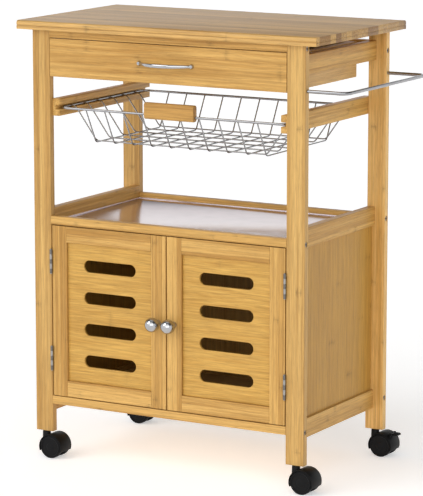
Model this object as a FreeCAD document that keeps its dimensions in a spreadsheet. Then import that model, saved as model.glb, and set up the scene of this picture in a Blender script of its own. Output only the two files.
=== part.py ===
import FreeCAD, Part
import Sketcher
import os
import re

# Rolling utility cart: worktop, drawer, sliding wire basket, shelf, two-door cupboard and four casters.
# Millimetres, +Z up, the front faces -Y.  Pieces are laid out about the frame's own middle and every
# node is then moved by (shift_x, shift_y), which puts the origin under the middle of the whole cart.

SIZES = [
    ("shift_x", "-25", "frame's middle in X: half the towel rail's extra reach"),
    ("shift_y", "11.25", "frame's middle in Y: half the knobs' extra reach"),
    ("top_z", "760", "top of the worktop above the floor"),
    ("board_w", "576", "worktop, side to side"),
    ("board_d", "328", "worktop, front to back"),
    ("board_t", "15", "worktop thickness"),
    ("band_h", "6", "square band under the worktop's moulded edge"),
    ("band_step", "1.2", "set-back of the moulding above the band"),
    ("nose_r", "5", "rounding of the worktop's top edge"),
    ("frame_w", "526", "outside of the legs, side to side"),
    ("frame_d", "306", "outside of the legs, front to back"),
    ("leg_w", "34", "leg's wide face"),
    ("leg_t", "13", "leg's narrow face"),
    ("leg_z", "46", "underside of the legs"),
    ("ease_r", "1.2", "rounding of the legs' and rails' long edges"),
    ("rail_x", "244", "outer face of the side rails"),
    ("rail_t", "15", "thickness of the side rails"),
    ("rail_h", "33", "height of the side rails"),
    ("cross_h", "14.5", "height of the slim front and back rails"),
    ("top_front_z", "732", "underside of the rail over the drawer"),
    ("top_side_z", "692", "underside of the top side rails and the top back rail"),
    ("drawer_z", "666", "underside of the drawer front"),
    ("drawer_h", "65", "height of the drawer front"),
    ("drawer_t", "15", "thickness of the drawer front"),
    ("drawer_gap", "1", "gap at each end of the drawer front"),
    ("drawer_x", "226.5", "outer face of the drawer's sides"),
    ("drawer_y", "100", "back of the drawer box"),
    ("box_t", "12", "thickness of the drawer's sides and back"),
    ("box_h", "60", "height of the drawer's sides"),
    ("base_t", "4", "thickness of the drawer's bottom"),
    ("base_z", "670", "underside of the drawer's bottom"),
    ("runner_x", "220.5", "inner face of the drawer runners"),
    ("runner_z", "701", "underside of the drawer runners"),
    ("runner_h", "12", "height of the drawer runners"),
    ("slide_gap", "0.5", "clearance round a runner in its groove"),
    ("pull_half", "54", "half the drawer pull's length"),
    ("pull_out", "25", "how far the drawer pull stands out"),
    ("pull_t", "4", "thickness of the drawer pull"),
    ("pull_h", "9", "height of the drawer pull"),
    ("foot_w", "8", "width of the drawer pull's feet"),
    ("foot_t", "2", "thickness of the drawer pull's feet"),
    ("pull_screw_x", "50.5", "drawer pull's screws from its middle"),
    ("screw_r", "1.5", "shank radius of the pull's screws"),
    ("track_t", "15", "thickness of the basket's grooved rails"),
    ("track_h", "30", "height of the basket's grooved rails"),
    ("track_z", "598", "underside of the basket's grooved rails"),
    ("track_set", "7", "set-back of the grooved rails from the legs' front"),
    ("slot_z", "609", "bottom of the basket groove"),
    ("slot_h", "7", "height of the basket groove"),
    ("slot_in", "9", "depth of the basket groove"),
    ("rim_r", "2.1", "radius of the basket's rim wire"),
    ("rim_x", "219", "rim wire's middle line, each side"),
    ("rim_front", "138", "rim wire's middle line at the front"),
    ("rim_back", "139", "rim wire's middle line at the back"),
    ("rim_bend", "12", "rim wire's corner radius"),
    ("rim_gap", "0.4", "clearance under the rim wire in its groove"),
    ("wire_r", "1.25", "radius of the basket's other wires"),
    ("floor_x", "166", "basket's floor, half width"),
    ("floor_y", "108", "basket's floor, half depth"),
    ("cross_y", "105", "outermost cross wires from the basket's middle"),
    ("knee_x", "208", "bend of the cross wires, inside the grooved rails"),
    ("floor_z", "552", "middle line of the basket's lower floor wires"),
    ("grip_w", "96", "wooden grip on the basket"),
    ("grip_t", "13", "thickness of the wooden grip"),
    ("grip_h", "28", "height of the wooden grip"),
    ("grip_z", "604", "underside of the wooden grip"),
    ("grip_r", "4", "rounding of the wooden grip"),
    ("shelf_z", "415", "top of the shelf's metal sheet"),
    ("sheet_t", "1.2", "thickness of the shelf's metal sheet"),
    ("shelf_rail_z", "411", "underside of the shelf's front and back rails"),
    ("shelf_side_z", "405.5", "underside of the shelf's side rails"),
    ("ledge_w", "8", "width of the strips under the shelf"),
    ("ledge_h", "9.8", "height of the strips under the shelf"),
    ("ledge_set", "6", "set-back of the strips behind the doors' frame"),
    ("low_rail_z", "95.5", "underside of the bottom front and back rails"),
    ("low_side_z", "83", "underside of the bottom side rails"),
    ("panel_t", "5", "thickness of side, back, bottom and door panels"),
    ("panel_x", "239", "outer face of the side panels"),
    ("low_panel_z", "103", "underside of the bottom panel"),
    ("door_z", "111.5", "underside of the doors"),
    ("door_h", "298", "height of the doors"),
    ("door_t", "15", "thickness of the doors"),
    ("door_x", "227", "hinge edge of the doors"),
    ("door_meet", "1", "half the gap between the doors"),
    ("stile_w", "29", "width of the doors' stiles"),
    ("door_rail_h", "28", "height of the doors' rails"),
    ("recess", "4", "set-back of the door panel from the door's face"),
    ("vent_w", "103", "length of a door slot"),
    ("vent_h", "21", "height of a door slot"),
    ("vent_pitch", "55.2", "spacing of the door slots"),
    ("knob_r", "12.5", "radius of the door knobs' balls"),
    ("knob_out", "21", "ball's middle from the door's face"),
    ("knob_neck_r", "4.5", "radius of the knobs' necks"),
    ("knob_foot_r", "5.5", "radius of the knobs' feet"),
    ("knob_foot_t", "2", "thickness of the knobs' feet"),
    ("hinge_h", "42", "length of a hinge"),
    ("hinge_low_z", "156", "underside of the lower hinges"),
    ("hinge_high_z", "326", "underside of the upper hinges"),
    ("hinge_x", "228", "hinge axis from the frame's middle"),
    ("hinge_out", "2.6", "hinge axis in front of the legs' face"),
    ("knuckle_r", "2.4", "radius of the hinge knuckles"),
    ("knuckle_gap", "0.3", "clearance at each end of a knuckle"),
    ("pin_r", "1.3", "radius of the hinge pins"),
    ("pin_gap", "0.05", "radial clearance of the doors' knuckles on the pins"),
    ("leaf_t", "0.9", "thickness of the hinge leaves"),
    ("leaf_w", "11", "width of a leaf inside the gap"),
    ("catch_w", "40", "magnetic catch, side to side"),
    ("catch_t", "11", "magnetic catch, front to back"),
    ("catch_h", "12", "height of the magnetic catch"),
    ("catch_gap", "0.4", "gap between the catch and the strike plates"),
    ("strike_w", "15", "width of a strike plate"),
    ("strike_in", "2", "set-back of a strike plate from the door's edge"),
    ("strike_drop", "1", "set-back of a strike plate from the door's top"),
    ("strike_h", "13", "height of a strike plate"),
    ("strike_t", "1", "thickness of a strike plate"),
    ("towel_z", "670", "towel rail's middle line"),
    ("towel_r", "3", "radius of the towel rail"),
    ("towel_x", "335", "towel rail's middle line at its outer run"),
    ("towel_bend", "14", "towel rail's corner radius"),
    ("towel_deep", "15", "how deep the towel rail's ends sit in the legs"),
    ("bolt_r", "3", "radius of the frame bolts' shanks"),
    ("bolt_head_r", "4.5", "radius of the frame bolts' heads"),
    ("bolt_head_h", "4", "height of the frame bolts' heads"),
    ("bolt_sunk", "1", "how far the bolt heads lie below the legs' faces"),
    ("bolt_len", "55", "length of a frame bolt's shank"),
    ("stem_r", "3.5", "radius of the casters' stems"),
    ("stem_gap", "0.05", "radial clearance of a stem in its socket"),
    ("stem_h", "26", "length of a stem inside the leg"),
    ("socket_r", "4.5", "outer radius of the stem sockets"),
    ("socket_h", "28", "length of the stem sockets"),
    ("neck_r", "6.4", "radius of the casters' necks"),
    ("neck_gap", "0.4", "gap between a caster's neck and its leg"),
    ("trail", "17", "wheel axle behind the swivel axis"),
    ("wheel_r", "20", "radius of the caster wheels"),
    ("wheel_w", "12", "width of one caster wheel"),
    ("wheel_in", "5.5", "inner face of a wheel from the caster's middle"),
    ("tyre_r", "1.5", "rounding of the caster wheels"),
    ("hood_r", "22.2", "outer radius of the caster hoods"),
    ("hood_gap", "0.7", "clearance between hood and tread"),
    ("web_gap", "0.5", "clearance between the hood's web and a wheel"),
    ("hood_low", "-8", "hood's lower edge above the axle"),
    ("boss_r", "7", "radius of the boss round the axle"),
    ("axle_r", "2.5", "radius of the caster axles"),
    ("axle_gap", "0.05", "radial clearance of the axles"),
    ("lever_out", "16.5", "brake lever's pivot beyond the axle, along the trail"),
    ("lever_up", "20.5", "brake lever's pivot above the axle"),
    ("lever_w", "15", "width of the brake levers"),
    ("lever_len", "14", "length of the brake levers"),
    ("lever_t", "2.6", "thickness of the brake levers"),
    ("lever_pin_r", "1.1", "radius of the brake levers' pins"),
    ("ear_t", "2.4", "thickness of the ears that hold a lever's pin"),
    ("ear_r", "2.6", "radius of those ears"),
    ("ear_l", "4", "how far an ear reaches back to the hood"),
    ("ear_h", "6", "how far an ear reaches down to the hood"),
    ("ear_gap", "0.3", "gap between an ear and the lever"),
]
ALIASES = {alias for alias, value, note in SIZES}
VALUES = {alias: float(value) for alias, value, note in SIZES}

FRONT = "(-frame_d / 2)"
BACK = "(frame_d / 2)"
BEHIND_FRONT_LEGS = "(-frame_d / 2 + leg_t)"
BETWEEN_LEGS = "(frame_d - 2 * leg_t)"
LEG_INNER = "(frame_w / 2 - leg_w)"
LEG_MIDDLE_X = "(frame_w / 2 - leg_w / 2)"
LEG_MIDDLE_Y = "(frame_d / 2 - leg_t / 2)"
BOARD_Z = "(top_z - board_t)"
RAIL_INNER = "(rail_x - rail_t)"
KNUCKLES = 5
LONG_WIRES = 10
CROSS_WIRES = 6
VENTS = 4
SIDES = (("left", -1), ("right", 1))
ENDS = (("front", -1), ("rear", 1))

doc = FreeCAD.newDocument("UtilityCart")
sheet = doc.addObject("Spreadsheet::Sheet", "Sizes")
for row, (alias, value, note) in enumerate(SIZES, start=1):
    sheet.set(f"A{row}", note)
    sheet.set(f"B{row}", value)
    sheet.setAlias(f"B{row}", alias)
doc.recompute()
nodes = []


# ---- helpers -------------------------------------------------------------------------------------

def sized(text):
    """Turn plain alias names in an expression into references to the sheet."""
    def reference(match):
        word = match.group(0)
        return f"Sizes.{word}" if word in ALIASES else word
    return re.sub(r"[a-z][a-z_]*", reference, str(text))


def bind(item, prop, text):
    item.setExpression(prop, sized(text))


def move_to(item, x, y, z):
    bind(item, "Placement.Base.x", x)
    bind(item, "Placement.Base.y", y)
    bind(item, "Placement.Base.z", z)


def mirrored(sign, low, size):
    """A (low, size) span on the +X or +Y side, or its mirror image."""
    return (low, size) if sign > 0 else (f"-({low}) - ({size})", size)


def box(x, y, z):
    """A block given by its (low, size) span along each axis."""
    item = doc.addObject("Part::Box", "Block")
    bind(item, "Length", x[1])
    bind(item, "Width", y[1])
    bind(item, "Height", z[1])
    move_to(item, x[0], y[0], z[0])
    return item


TURNS = {
    "X": FreeCAD.Rotation(FreeCAD.Vector(0, 1, 0), 90),
    "Y": FreeCAD.Rotation(FreeCAD.Vector(1, 0, 0), -90),
    "Z": FreeCAD.Rotation(),
}


def rod(axis, radius, length, x, y, z):
    """A cylinder that runs from (x, y, z) along +X, +Y or +Z."""
    item = doc.addObject("Part::Cylinder", "Rod")
    item.Placement = FreeCAD.Placement(FreeCAD.Vector(), TURNS[axis])
    bind(item, "Radius", radius)
    bind(item, "Height", length)
    move_to(item, x, y, z)
    return item


def ball(radius, x, y, z):
    item = doc.addObject("Part::Sphere", "Ball")
    bind(item, "Radius", radius)
    move_to(item, x, y, z)
    return item


def bend(radius, wire, start, x, y, z):
    """A quarter turn of round wire in a level plane, from the angle start, about (x, y, z)."""
    item = doc.addObject("Part::Torus", "Bend")
    item.Placement = FreeCAD.Placement(FreeCAD.Vector(), FreeCAD.Rotation(FreeCAD.Vector(0, 0, 1), start))
    bind(item, "Radius1", radius)
    bind(item, "Radius2", wire)
    item.Angle3 = 90
    move_to(item, x, y, z)
    return item


def fused(*pieces):
    item = doc.addObject("Part::MultiFuse", "Joined")
    item.Shapes = list(pieces)
    return item


def cut(base, *tools):
    item = doc.addObject("Part::Cut", "Trimmed")
    item.Base = base
    item.Tool = tools[0] if len(tools) == 1 else fused(*tools)
    return item


def common(base, tool):
    item = doc.addObject("Part::Common", "Shared")
    item.Base = base
    item.Tool = tool
    return item


def eased(base, alias, wanted=lambda edge: True):
    """Round the wanted edges of a block by the size that the sheet calls alias."""
    doc.recompute()
    radius = VALUES[alias]
    item = doc.addObject("Part::Fillet", "Eased")
    item.Base = base
    edges = enumerate(base.Shape.Edges, start=1)
    item.Edges = [(index, radius, radius) for index, edge in edges if wanted(edge)]
    return item


def runs_along(axis):
    """A test for straight edges along one axis."""
    unit = {"X": FreeCAD.Vector(1, 0, 0), "Y": FreeCAD.Vector(0, 1, 0), "Z": FreeCAD.Vector(0, 0, 1)}[axis]

    def test(edge):
        straight = isinstance(edge.Curve, Part.Line)
        return straight and abs(edge.tangentAt(edge.FirstParameter).dot(unit)) > 0.999
    return test


def plank(axis, x, y, z):
    """A wooden strip whose long edges, along axis, are slightly rounded."""
    return eased(box(x, y, z), "ease_r", runs_along(axis))


def node(label, *pieces):
    """One sub-part: its pieces as a compound, moved from the frame's middle to the cart's origin."""
    item = doc.addObject("Part::Compound", label)
    item.Label = label
    item.Links = list(pieces)
    move_to(item, "shift_x", "shift_y", "0")
    nodes.append(item)
    return item


def number(text):
    """The value of an expression in the sheet's sizes."""
    return float(sheet.evalExpression(sized(text)))


def outline(body, role, points):
    """A closed sketch on one of the body's origin planes, each corner bound to the sheet."""
    plane = [item for item in body.Origin.OriginFeatures if item.Role == role][0]
    sketch = body.newObject("Sketcher::SketchObject", "Outline")
    sketch.AttachmentSupport = (plane, [""])
    sketch.MapMode = "FlatFace"
    corners = [FreeCAD.Vector(number(a), number(b), 0) for a, b in points]
    for start, end in zip(corners, corners[1:] + corners[:1]):
        sketch.addGeometry(Part.LineSegment(start, end), False)
    for index, (a, b) in enumerate(points):
        following = (index + 1) % len(points)
        sketch.addConstraint(Sketcher.Constraint("Coincident", index, 2, following, 1))
        for kind, text, value in (("DistanceX", a, corners[index].x), ("DistanceY", b, corners[index].y)):
            place = sketch.addConstraint(Sketcher.Constraint(kind, -1, 1, index, 1, value))
            bind(sketch, f"Constraints[{place}]", text)
    return sketch


# ---- worktop and frame ---------------------------------------------------------------------------

def worktop():
    body = doc.addObject("PartDesign::Body", "Board")
    lip = f"({BOARD_Z} + band_h)"
    half = "board_d / 2"
    inset = f"({half} - band_step)"
    points = [
        (f"-{half}", BOARD_Z), (half, BOARD_Z), (half, lip), (inset, lip),
        (inset, "top_z"), (f"-{inset}", "top_z"), (f"-{inset}", lip), (f"-{half}", lip),
    ]
    sketch = outline(body, "YZ_Plane", points)
    pad = body.newObject("PartDesign::Pad", "Length")
    pad.Profile = sketch
    bind(pad, "Length", "board_w")
    doc.recompute()
    top_edges = [
        f"Edge{index}" for index, edge in enumerate(pad.Shape.Edges, start=1)
        if edge.BoundBox.ZMin > VALUES["top_z"] - 0.01 and edge.BoundBox.XLength > 1
    ]
    nose = body.newObject("PartDesign::Fillet", "Nose")
    nose.Base = (pad, top_edges)
    bind(nose, "Radius", "nose_r")
    body.Tip = nose
    bind(body, "Placement.Base.x", "-board_w / 2")
    node("worktop", body)


HEAD_LOW = "(frame_w / 2 - bolt_sunk - bolt_head_h)"
FRONT_BOLTS = (
    "(top_front_z + cross_h / 2)",
    "(shelf_rail_z + cross_h / 2)",
    "(low_rail_z + cross_h / 2)",
)
REAR_BOLTS = ("(top_side_z + rail_h / 2)",) + FRONT_BOLTS[1:]


def bolt(sign, y, z, head_size):
    """A frame bolt, or with a longer head its hole, driven sideways through a leg into a rail."""
    head_low, head_long = mirrored(sign, HEAD_LOW, head_size)
    shank_low, shank_long = mirrored(sign, f"({HEAD_LOW} - bolt_len)", "bolt_len")
    head = rod("X", "bolt_head_r", head_long, head_low, y, z)
    shank = rod("X", "bolt_r", shank_long, shank_low, y, z)
    return [head, shank]


def bolt_holes(sign, end, levels):
    y = f"{end} * {LEG_MIDDLE_Y}"
    return [piece for z in levels for piece in bolt(sign, y, z, "bolt_head_h + bolt_sunk")]


def leg(name, sign, end):
    x = mirrored(sign, LEG_INNER, "leg_w")
    y = mirrored(end, f"({BACK} - leg_t)", "leg_t")
    post = plank("Z", x, y, ("leg_z", f"{BOARD_Z} - leg_z"))
    middle_x = f"{sign} * {LEG_MIDDLE_X}"
    middle_y = f"{end} * {LEG_MIDDLE_Y}"
    holes = bolt_holes(sign, end, FRONT_BOLTS if end < 0 else REAR_BOLTS)
    holes.append(rod("Z", "socket_r", "socket_h", middle_x, middle_y, "leg_z"))
    if sign > 0:
        holes.append(rod("X", "towel_r", "towel_deep", "frame_w / 2 - towel_deep", middle_y, "towel_z"))
    node(f"leg_{name}", cut(post, *holes))


def cross_rail(end, z, high, level):
    """A rail between the two front or the two rear legs, drilled for its bolts."""
    y = mirrored(end, f"({BACK} - leg_t)", "leg_t")
    rail = plank("X", (f"-{LEG_INNER}", f"2 * {LEG_INNER}"), y, (z, high))
    holes = [piece for side, sign in SIDES for piece in bolt_holes(sign, end, [level])]
    return cut(rail, *holes)


def cross_rails():
    node(
        "top_cross_rails",
        cross_rail(-1, "top_front_z", f"{BOARD_Z} - top_front_z", FRONT_BOLTS[0]),
        cross_rail(1, "top_side_z", "rail_h", REAR_BOLTS[0]),
    )
    lower = (("shelf", "shelf_rail_z", FRONT_BOLTS[1]), ("bottom", "low_rail_z", FRONT_BOLTS[2]))
    for label, z, level in lower:
        node(f"{label}_cross_rails", *[cross_rail(end, z, "cross_h", level) for name, end in ENDS])


def side_rails():
    for label, z in (("top", "top_side_z"), ("shelf", "shelf_side_z"), ("bottom", "low_side_z")):
        y = (BEHIND_FRONT_LEGS, BETWEEN_LEGS)
        rails = [plank("Y", mirrored(sign, RAIL_INNER, "rail_t"), y, (z, "rail_h")) for side, sign in SIDES]
        node(f"{label}_side_rails", *rails)


def drawer_runners():
    behind_face = "(-frame_d / 2 + drawer_t + slide_gap)"
    y = (behind_face, f"{BACK} - leg_t - {behind_face}")
    wide = f"({RAIL_INNER} - runner_x)"
    z = ("runner_z", "runner_h")
    node("drawer_runners", *[box(mirrored(sign, "runner_x", wide), y, z) for side, sign in SIDES])


def basket_rails():
    y = (f"{FRONT} + track_set", "frame_d - track_set")
    rails = []
    for side, sign in SIDES:
        rail = box(mirrored(sign, f"({LEG_INNER} - track_t)", "track_t"), y, ("track_z", "track_h"))
        groove = box(mirrored(sign, f"({LEG_INNER} - track_t)", "slot_in"), y, ("slot_z", "slot_h"))
        rails.append(cut(rail, groove))
    node("basket_rails", *rails)


def shelf():
    y = (BEHIND_FRONT_LEGS, BETWEEN_LEGS)
    metal = box((f"-{RAIL_INNER}", f"2 * {RAIL_INNER}"), y, ("shelf_z - sheet_t", "sheet_t"))
    node("shelf_sheet", metal)
    behind_doors = (f"{FRONT} + door_t + ledge_set", f"{BETWEEN_LEGS} - door_t + leg_t - ledge_set")
    z = ("shelf_z - sheet_t - ledge_h", "ledge_h")
    low = f"({RAIL_INNER} - ledge_w)"
    ledges = [box(mirrored(sign, low, "ledge_w"), behind_doors, z) for side, sign in SIDES]
    node("shelf_ledges", *ledges)


def panels():
    y = (BEHIND_FRONT_LEGS, BETWEEN_LEGS)
    low = "(low_side_z + rail_h)"
    sides = [
        box(mirrored(sign, "(panel_x - panel_t)", "panel_t"), y, (low, f"shelf_side_z - {low}"))
        for side, sign in SIDES
    ]
    node("side_panels", *sides)
    low = "(low_rail_z + cross_h)"
    middle = (f"{LEG_MIDDLE_Y} - panel_t / 2", "panel_t")
    back = box((f"-{LEG_INNER}", f"2 * {LEG_INNER}"), middle, (low, f"shelf_rail_z - {low}"))
    node("back_panel", back)
    node("bottom_panel", box((f"-{RAIL_INNER}", f"2 * {RAIL_INNER}"), y, ("low_panel_z", "panel_t")))


def frame_bolts():
    bolts = []
    for side, sign in SIDES:
        for name, end in ENDS:
            for z in FRONT_BOLTS if end < 0 else REAR_BOLTS:
                bolts.append(fused(*bolt(sign, f"{end} * {LEG_MIDDLE_Y}", z, "bolt_head_h")))
    node("frame_bolts", *bolts)


def towel_rail():
    x = "(frame_w / 2 - towel_deep)"
    corner = "(towel_x - towel_bend)"
    y = LEG_MIDDLE_Y
    pieces = [
        rod("X", "towel_r", f"{corner} - {x}", x, f"-{y}", "towel_z"),
        rod("X", "towel_r", f"{corner} - {x}", x, y, "towel_z"),
        rod("Y", "towel_r", f"2 * ({y} - towel_bend)", "towel_x", f"-{y} + towel_bend", "towel_z"),
        bend("towel_bend", "towel_r", 270, corner, f"-{y} + towel_bend", "towel_z"),
        bend("towel_bend", "towel_r", 0, corner, f"{y} - towel_bend", "towel_z"),
    ]
    node("towel_rail", fused(*pieces))


# ---- drawer --------------------------------------------------------------------------------------

def drawer():
    front_x = (f"-{LEG_INNER} + drawer_gap", f"2 * ({LEG_INNER} - drawer_gap)")
    face = plank("X", front_x, (FRONT, "drawer_t"), ("drawer_z", "drawer_h"))
    middle_z = "(drawer_z + drawer_h / 2)"
    behind = f"({FRONT} + drawer_t)"
    screw_holes = [
        rod("Y", "screw_r", "drawer_t", f"{sign} * pull_screw_x", FRONT, middle_z) for side, sign in SIDES
    ]
    node("drawer_front", cut(face, *screw_holes))

    deep = (behind, f"drawer_y - {behind}")
    walls = []
    for side, sign in SIDES:
        wall = box(mirrored(sign, "(drawer_x - box_t)", "box_t"), deep, ("drawer_z", "box_h"))
        groove_low = "(runner_x - slide_gap)"
        groove_x = mirrored(sign, groove_low, f"drawer_x - {groove_low}")
        groove = box(groove_x, deep, ("runner_z - slide_gap", "runner_h + 2 * slide_gap"))
        walls.append(cut(wall, groove))
    node("drawer_sides", *walls)

    inside_x = ("-(drawer_x - box_t)", "2 * (drawer_x - box_t)")
    node("drawer_back", box(inside_x, ("drawer_y - box_t", "box_t"), ("drawer_z", "box_h")))
    inside_y = (behind, f"drawer_y - box_t - {behind}")
    node("drawer_bottom", box(inside_x, inside_y, ("base_z", "base_t")))

    arch = "((pull_half * pull_half + pull_out * pull_out) / (2 * pull_out))"
    low = f"({middle_z} - pull_h / 2)"
    centre_y = f"({FRONT} - pull_out + {arch})"
    outer = rod("Z", arch, "pull_h", "0", centre_y, low)
    inner = rod("Z", f"{arch} - pull_t", "pull_h", "0", centre_y, low)
    before = box(("-pull_half", "2 * pull_half"), (f"{FRONT} - pull_out", "pull_out"), (low, "pull_h"))
    bow = common(cut(outer, inner), before)
    foot_y = (f"{FRONT} - foot_t", "foot_t")
    foot_low = "(pull_half - foot_w)"
    feet = [box(mirrored(sign, foot_low, "foot_w"), foot_y, (low, "pull_h")) for side, sign in SIDES]
    node("drawer_pull", fused(bow, *feet))

    screws = []
    for side, sign in SIDES:
        x = f"{sign} * pull_screw_x"
        shank = rod("Y", "screw_r", "drawer_t", x, FRONT, middle_z)
        head = rod("Y", "2 * screw_r", "screw_r", x, behind, middle_z)
        screws.append(fused(shank, head))
    node("drawer_pull_screws", *screws)


# ---- basket --------------------------------------------------------------------------------------

RIM_Z = "(slot_z + rim_gap + rim_r)"
RIM_MIDDLE_Y = "((rim_back - rim_front) / 2)"


def basket_rim():
    straight_x = "(rim_x - rim_bend)"
    front = "(-rim_front + rim_bend)"
    back = "(rim_back - rim_bend)"
    pieces = [
        rod("X", "rim_r", f"2 * {straight_x}", f"-{straight_x}", "-rim_front", RIM_Z),
        rod("X", "rim_r", f"2 * {straight_x}", f"-{straight_x}", "rim_back", RIM_Z),
        rod("Y", "rim_r", f"{back} - {front}", "-rim_x", front, RIM_Z),
        rod("Y", "rim_r", f"{back} - {front}", "rim_x", front, RIM_Z),
        bend("rim_bend", "rim_r", 0, straight_x, back, RIM_Z),
        bend("rim_bend", "rim_r", 90, f"-{straight_x}", back, RIM_Z),
        bend("rim_bend", "rim_r", 180, f"-{straight_x}", front, RIM_Z),
        bend("rim_bend", "rim_r", 270, straight_x, front, RIM_Z),
    ]
    node("basket_rim", fused(*pieces))


def spread(index, count, half):
    """Place number index of count places spread evenly from -half to half."""
    return f"({half} * {2 * index - count + 1} / {count - 1})"


def slanted(axis, sign, x, y, z, run, rise):
    """A wire that climbs outwards from (x, y, z), along axis, by the given run and rise."""
    item = doc.addObject("Part::Cylinder", "Wire")
    turn = FreeCAD.Vector(0, 1, 0) if axis == "X" else FreeCAD.Vector(-1, 0, 0)
    item.Placement = FreeCAD.Placement(FreeCAD.Vector(), FreeCAD.Rotation(turn * sign, 45))
    bind(item, "Radius", "wire_r")
    bind(item, "Height", f"sqrt({run} * {run} + {rise} * {rise})")
    bind(item, "Placement.Rotation.Angle", f"atan({run} / {rise})")
    move_to(item, x, y, z)
    return item


def basket_wires():
    upper = "(floor_z + 2 * wire_r)"
    floor = []
    for index in range(LONG_WIRES):
        x = spread(index, LONG_WIRES, "floor_x")
        floor.append(rod("Y", "wire_r", "2 * floor_y", x, f"{RIM_MIDDLE_Y} - floor_y", "floor_z"))
    for index in range(CROSS_WIRES):
        y = f"({RIM_MIDDLE_Y} + {spread(index, CROSS_WIRES, 'cross_y')})"
        floor.append(rod("X", "wire_r", "2 * floor_x", "-floor_x", y, upper))
    node("basket_floor_wires", *floor)

    rim_y = "((rim_front + rim_back) / 2)"
    rise = f"({RIM_Z} - rim_r - floor_z)"
    for name, end in (("front", -1), ("back", 1)):
        y = f"{RIM_MIDDLE_Y} + {end} * floor_y"
        wires = []
        for index in range(LONG_WIRES):
            x = spread(index, LONG_WIRES, "floor_x")
            wires.append(slanted("Y", end, x, y, "floor_z", f"({rim_y} - floor_y)", rise))
        node(f"basket_{name}_wires", *wires)
    rise = f"({RIM_Z} - {upper})"
    for name, sign in SIDES:
        level_x = mirrored(sign, "knee_x", "(rim_x - rim_r - knee_x)")
        wires = []
        for index in range(CROSS_WIRES):
            y = f"({RIM_MIDDLE_Y} + {spread(index, CROSS_WIRES, 'cross_y')})"
            climb = slanted("X", sign, f"{sign} * floor_x", y, upper, "(knee_x - floor_x)", rise)
            knee = ball("wire_r", f"{sign} * knee_x", y, RIM_Z)
            level = rod("X", "wire_r", level_x[1], level_x[0], y, RIM_Z)
            wires.append(fused(climb, knee, level))
        node(f"basket_{name}_wires", *wires)


def basket_grip():
    x = ("-grip_w / 2", "grip_w")
    blank = box(x, ("-rim_front - grip_t / 2", "grip_t"), ("grip_z", "grip_h"))
    block = eased(blank, "grip_r", runs_along("X"))
    node("basket_grip", cut(block, rod("X", "rim_r", "grip_w", "-grip_w / 2", "-rim_front", RIM_Z)))


# ---- doors ---------------------------------------------------------------------------------------

def door(side, sign):
    y = (FRONT, "door_t")
    tall = ("door_z", "door_h")
    outer = plank("Z", mirrored(sign, "(door_x - stile_w)", "stile_w"), y, tall)
    inner = plank("Z", mirrored(sign, "door_meet", "stile_w"), y, tall)
    node(f"door_{side}_stiles", outer, inner)

    rail_x = mirrored(sign, "(door_meet + stile_w)", "(door_x - door_meet - 2 * stile_w)")
    levels = ("door_z", "(door_z + door_h - door_rail_h)")
    node(f"door_{side}_rails", *[plank("X", rail_x, y, (z, "door_rail_h")) for z in levels])

    open_h = "(door_h - 2 * door_rail_h)"
    panel_y = (f"({FRONT} + recess)", "panel_t")
    panel = box(rail_x, panel_y, ("door_z + door_rail_h", open_h))
    middle_x = f"({sign} * (door_x + door_meet) / 2)"
    middle_z = "(door_z + door_h / 2)"
    vents = []
    for index in range(VENTS):
        z = f"({middle_z} + vent_pitch * {(2 * index - VENTS + 1) / 2})"
        straight = "(vent_w - vent_h)"
        vent_z = (f"{z} - vent_h / 2", "vent_h")
        vents.append(box((f"{middle_x} - {straight} / 2", straight), panel_y, vent_z))
        for tip in (-1, 1):
            x = f"{middle_x} + {tip} * {straight} / 2"
            vents.append(rod("Y", "vent_h / 2", "panel_t", x, panel_y[0], z))
    node(f"door_{side}_panel", cut(panel, *vents))

    knob_x = f"{sign} * (door_meet + stile_w / 2)"
    neck = rod("Y", "knob_neck_r", "knob_out", knob_x, f"{FRONT} - knob_out", middle_z)
    foot = rod("Y", "knob_foot_r", "knob_foot_t", knob_x, f"{FRONT} - knob_foot_t", middle_z)
    node(f"door_{side}_knob", fused(ball("knob_r", knob_x, f"{FRONT} - knob_out", middle_z), neck, foot))

    strike_x = mirrored(sign, "(door_meet + strike_in)", "strike_w")
    strike_y = (f"{FRONT} + door_t", "strike_t")
    strike_z = ("door_z + door_h - strike_h - strike_drop", "strike_h")
    node(f"door_{side}_strike", box(strike_x, strike_y, strike_z))


def leaf(sign, z, on_door):
    """One leaf of a hinge with its knuckles, in the gap between a leg and a door."""
    axis_y = f"({FRONT} - hinge_out)"
    x = f"{sign} * hinge_x"
    edge = "(door_x)" if on_door else f"({LEG_INNER} - leaf_t)"
    low, wide = mirrored(sign, edge, "leaf_t")
    plate = box((low, wide), (axis_y, "hinge_out + leaf_w"), (z, "hinge_h"))
    knuckle_h = f"(hinge_h / {KNUCKLES})"
    spaces = []
    knuckles = []
    for index in range(KNUCKLES):
        base = f"({z} + {index} * {knuckle_h})"
        if (index % 2 == 1) == on_door:
            long = f"{knuckle_h} - 2 * knuckle_gap"
            knuckles.append(rod("Z", "knuckle_r", long, x, axis_y, f"{base} + knuckle_gap"))
        else:
            spaces.append(rod("Z", "knuckle_r + 2 * knuckle_gap", knuckle_h, x, axis_y, base))
    bore = rod("Z", "pin_r + pin_gap" if on_door else "pin_r", "hinge_h", x, axis_y, z)
    return cut(fused(cut(plate, *spaces), *knuckles), bore)


def hinges():
    levels = ("hinge_low_z", "hinge_high_z")
    for side, sign in SIDES:
        node(f"door_{side}_hinge_leaves", *[leaf(sign, z, True) for z in levels])
    node("frame_hinge_leaves", *[leaf(sign, z, False) for side, sign in SIDES for z in levels])
    pins = [
        rod("Z", "pin_r", "hinge_h", f"{sign} * hinge_x", f"{FRONT} - hinge_out", z)
        for side, sign in SIDES for z in levels
    ]
    node("hinge_pins", *pins)


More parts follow.
